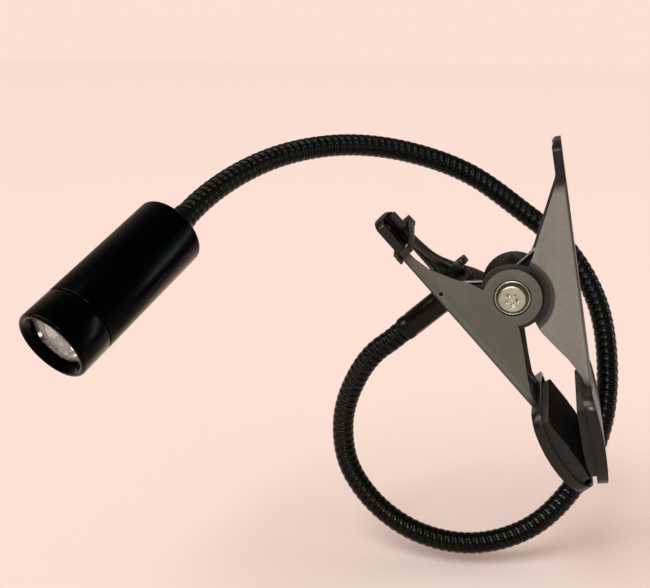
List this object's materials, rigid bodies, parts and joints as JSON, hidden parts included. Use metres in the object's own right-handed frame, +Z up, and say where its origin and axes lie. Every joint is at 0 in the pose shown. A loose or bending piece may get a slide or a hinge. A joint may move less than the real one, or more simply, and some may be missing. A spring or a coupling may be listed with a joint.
{
  "type": "clip on reading lamp",
  "caption": "Clip-on reading lamp: a sprung steel clip with padded jaws carries a flexible ribbed gooseneck and a small cylindrical spot head.",
  "frame": {"origin": "the middle of the grip line, where the two jaw pads meet", "axes": "+X from the root jaw to the moving jaw, +Y along the clip's pivot away from the viewer, +Z up, from the jaws to the handles"},
  "size_m": [0.177, 0.1453, 0.1574],
  "materials": {
    "painted_steel": "satin powder coat on pressed steel sheet",
    "foam": "closed-cell foam rubber, matt",
    "zinc": "zinc plated, yellow passivated",
    "spring_steel": "oiled spring wire",
    "black_steel": "black plated steel strip and tube, semi-gloss",
    "anodised": "black anodised, fine turned",
    "lens": "clear, polished",
    "reflector": "vacuum metallised",
    "aluminium": "bare, turned",
    "phosphor": "silicone dome over phosphor",
    "rubber": "matt",
    "circuit_board": "solder mask",
    "choke": "moulded ferrite choke",
    "cable": "smooth PVC jacket",
    "socket": "moulded",
    "nylon": "moulded nylon"
  },
  "bodies": {
    "root_clip": {"root_arm": "painted_steel", "root_pad": "foam", "pivot_pin": "zinc", "near_bush": "zinc", "far_bush": "zinc", "torsion_spring": "spring_steel", "base_ferrule": "black_steel", "lock_washer": "zinc", "base_nut": "zinc", "neck_1": "black_steel", "lead_cable": "cable", "dc_socket": "socket", "handle_tie": "nylon", "cheek_tie": "nylon"},
    "moving_clip": {"moving_arm": "painted_steel", "moving_pad": "foam"},
    "gooseneck_2": {"neck_2": "black_steel"},
    "gooseneck_3": {"neck_3": "black_steel"},
    "gooseneck_4": {"neck_4": "black_steel"},
    "gooseneck_5": {"neck_5": "black_steel"},
    "gooseneck_6": {"neck_6": "black_steel"},
    "head": {"neck_7": "black_steel", "head_ferrule": "black_steel", "head_housing": "anodised", "bezel_ring": "anodised", "lens": "lens", "reflector": "reflector", "led_board": "aluminium", "led_emitter": "phosphor", "heat_sink": "aluminium", "bezel_seal": "rubber", "driver_board": "circuit_board", "driver_choke": "choke", "head_nut": "zinc"}
  },
  "joints": [
    {"name": "clamp_open", "type": "hinge", "parent": "root_clip", "child": "moving_clip", "pos_m": [-0.027, 0, 0.054], "axis": [0, -1, 0], "range_deg": [0, 26], "stiffness_Nm_per_rad": 1, "springref_deg": -28.65, "deforming": ["torsion_spring"]},
    {"name": "neck_bend_1", "type": "hinge", "parent": "root_clip", "child": "gooseneck_2", "pos_m": [-0.08564, 0.00455, -0.01872], "axis": [-0.2199, -0.9737, -0.0599], "range_deg": [-25, 5]},
    {"name": "neck_bend_2", "type": "hinge", "parent": "gooseneck_2", "child": "gooseneck_3", "pos_m": [-0.03513, 0.00368, -0.04743], "axis": [-0.1523, 0.3464, 0.9256], "range_deg": [-4, 22]},
    {"name": "neck_bend_3", "type": "hinge", "parent": "gooseneck_3", "child": "gooseneck_4", "pos_m": [0.00645, 0.02642, -0.0118], "axis": [0.291, -0.9005, 0.3233], "range_deg": [-20, 20]},
    {"name": "neck_bend_4", "type": "hinge", "parent": "gooseneck_4", "child": "gooseneck_5", "pos_m": [-0.00023, 0.04619, 0.04572], "axis": [-0.8466, -0.328, -0.4191], "range_deg": [-20, 25]},
    {"name": "neck_bend_5", "type": "hinge", "parent": "gooseneck_5", "child": "gooseneck_6", "pos_m": [-0.04736, 0.04814, 0.08546], "axis": [0.446, -0.6973, 0.5611], "range_deg": [-28, 28]},
    {"name": "neck_bend_6", "type": "hinge", "parent": "gooseneck_6", "child": "head", "pos_m": [-0.10028, 0.01973, 0.09825], "axis": [0.4661, -0.4829, -0.7413], "range_deg": [-32, 32]}
  ]
}
